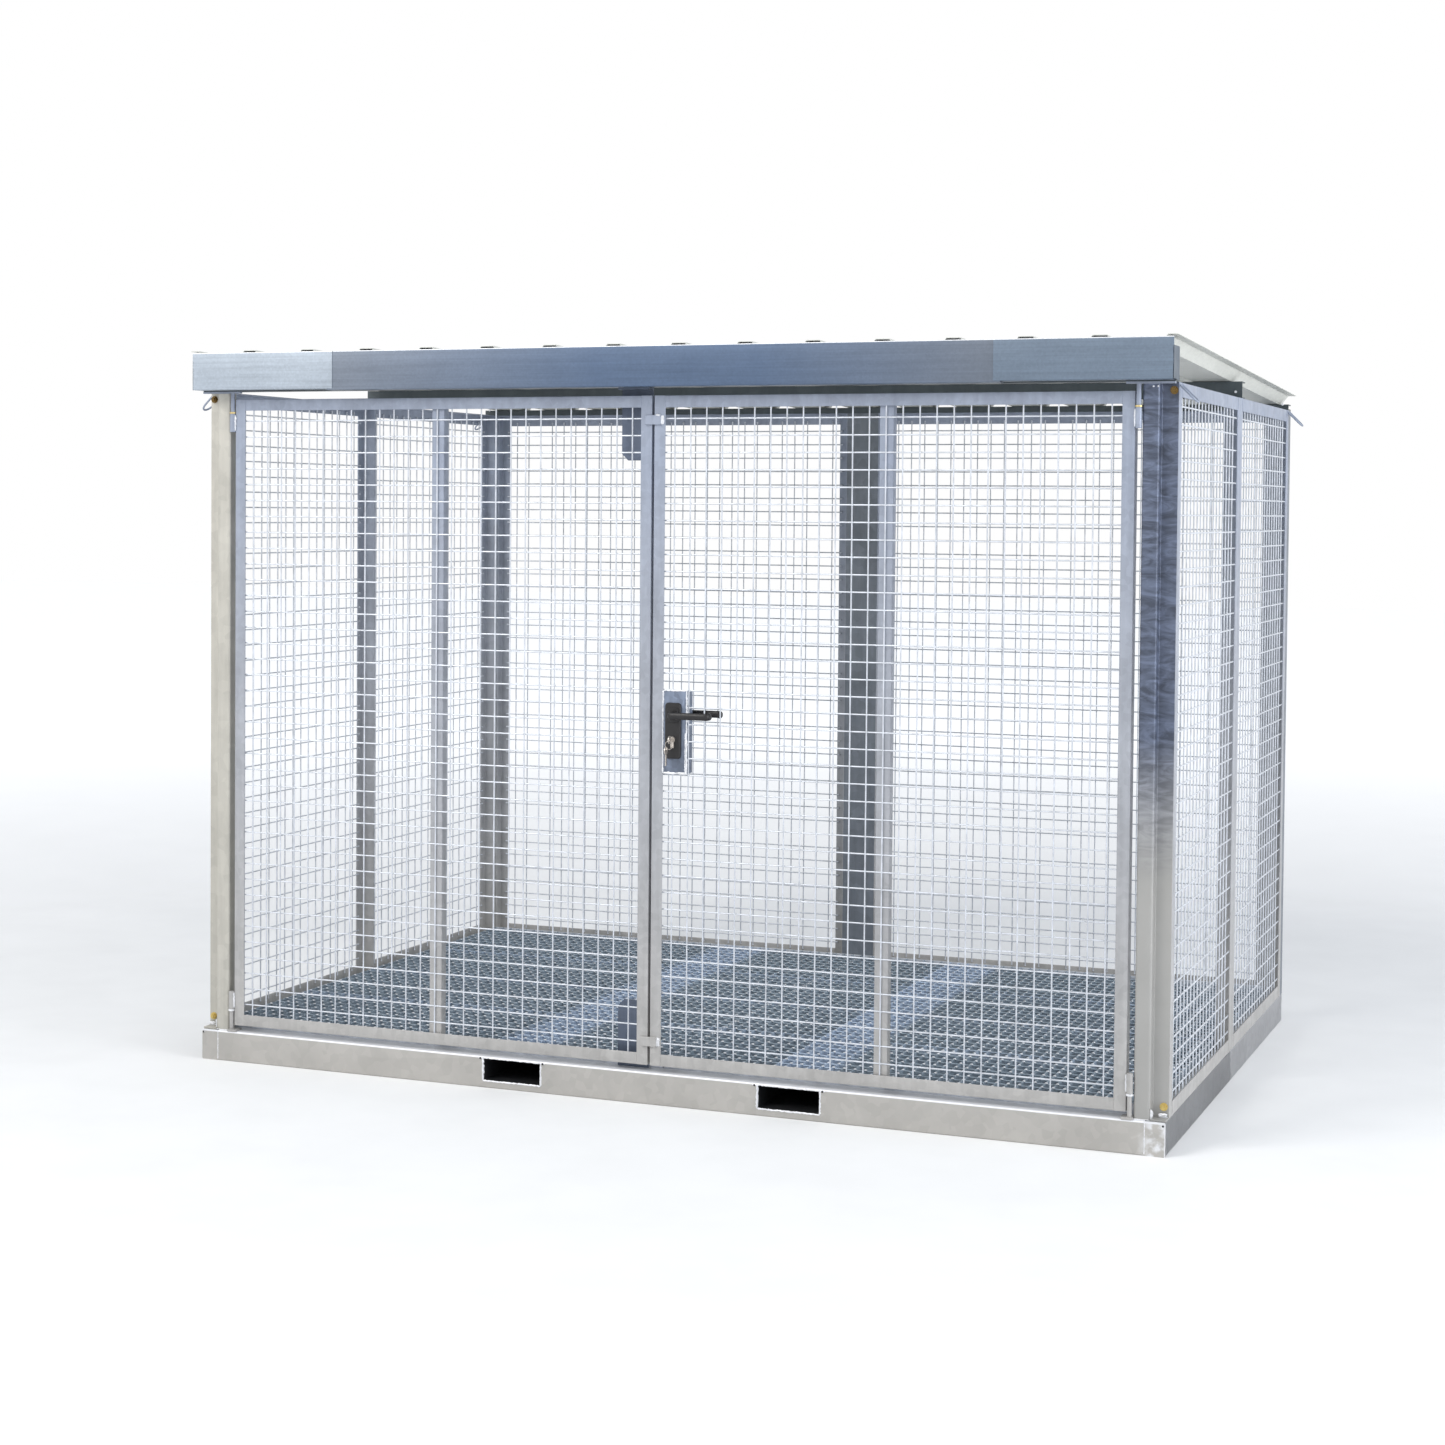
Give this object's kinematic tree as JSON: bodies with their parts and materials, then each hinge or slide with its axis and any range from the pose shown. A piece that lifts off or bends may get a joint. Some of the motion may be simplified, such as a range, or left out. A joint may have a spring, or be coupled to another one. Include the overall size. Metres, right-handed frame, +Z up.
{
  "type": "gas cylinder cage",
  "caption": "Walk-in galvanised cage for gas cylinders: mesh walls, sloping profiled roof, two hinged mesh doors with lever lock, fork pockets in the base.",
  "frame": {"origin": "middle of the bounding box in plan, on the ground", "axes": "+X to the right along the door front as seen from outside, -Y out of the doors, +Z up"},
  "size_m": [3.1898, 2.086, 2.2509],
  "materials": {
    "galvanised_steel": "matte",
    "dark_galvanised": "matte",
    "roof_sheet": "satin",
    "bright_wire": "satin",
    "zinc_plate": "satin",
    "yellow_zinc": "satin",
    "brass": "satin",
    "black_plastic": "matte",
    "key_steel": "polished"
  },
  "bodies": {
    "cage": {"front_beam": "galvanised_steel", "rear_beam": "galvanised_steel", "left_beam": "galvanised_steel", "right_beam": "galvanised_steel", "fork_tubes": "galvanised_steel", "floor_bearers": "galvanised_steel", "floor_grating": "galvanised_steel", "left_wall_front_frame": "galvanised_steel", "left_wall_rear_frame": "galvanised_steel", "left_wall_mesh": "bright_wire", "right_wall_front_frame": "galvanised_steel", "right_wall_rear_frame": "galvanised_steel", "right_wall_mesh": "bright_wire", "rear_posts": "dark_galvanised", "rear_wall_left_frame": "galvanised_steel", "rear_wall_right_frame": "galvanised_steel", "rear_wall_mesh": "bright_wire", "left_front_post": "galvanised_steel", "right_front_post": "galvanised_steel", "corner_bolts": "yellow_zinc", "front_purlin": "galvanised_steel", "middle_purlin": "galvanised_steel", "rear_purlin": "galvanised_steel", "left_roof_sheet": "roof_sheet", "middle_roof_sheet": "roof_sheet", "right_roof_sheet": "roof_sheet", "left_fascia": "galvanised_steel", "middle_fascia": "dark_galvanised", "right_fascia": "galvanised_steel", "lifting_loops": "galvanised_steel", "door_stops": "dark_galvanised", "hinge_pins": "galvanised_steel", "hinge_washers": "brass"},
    "left_door": {"left_door_frame": "galvanised_steel", "left_door_mesh": "bright_wire", "left_door_stiffener": "galvanised_steel", "left_door_knuckles": "galvanised_steel"},
    "right_door": {"right_door_frame": "galvanised_steel", "right_door_mesh": "bright_wire", "right_door_stiffener": "galvanised_steel", "right_door_knuckles": "galvanised_steel", "lock_box": "zinc_plate", "escutcheons": "black_plastic", "lock_cylinder": "brass", "key": "key_steel"},
    "door_handle": {"handle": "black_plastic"}
  },
  "joints": [
    {"name": "left_door_hinge", "type": "hinge", "parent": "cage", "child": "left_door", "pos_m": [-1.44275, -0.979, 1.1], "axis": [0, 0, -1], "range_deg": [0, 120]},
    {"name": "right_door_hinge", "type": "hinge", "parent": "cage", "child": "right_door", "pos_m": [1.44275, -0.979, 1.1], "axis": [0, 0, 1], "range_deg": [0, 120]},
    {"name": "handle_turn", "type": "hinge", "parent": "right_door", "child": "door_handle", "pos_m": [0.072, -0.979, 1.16], "axis": [0, 1, 0], "range_deg": [0, 45], "stiffness_Nm_per_rad": 1}
  ]
}
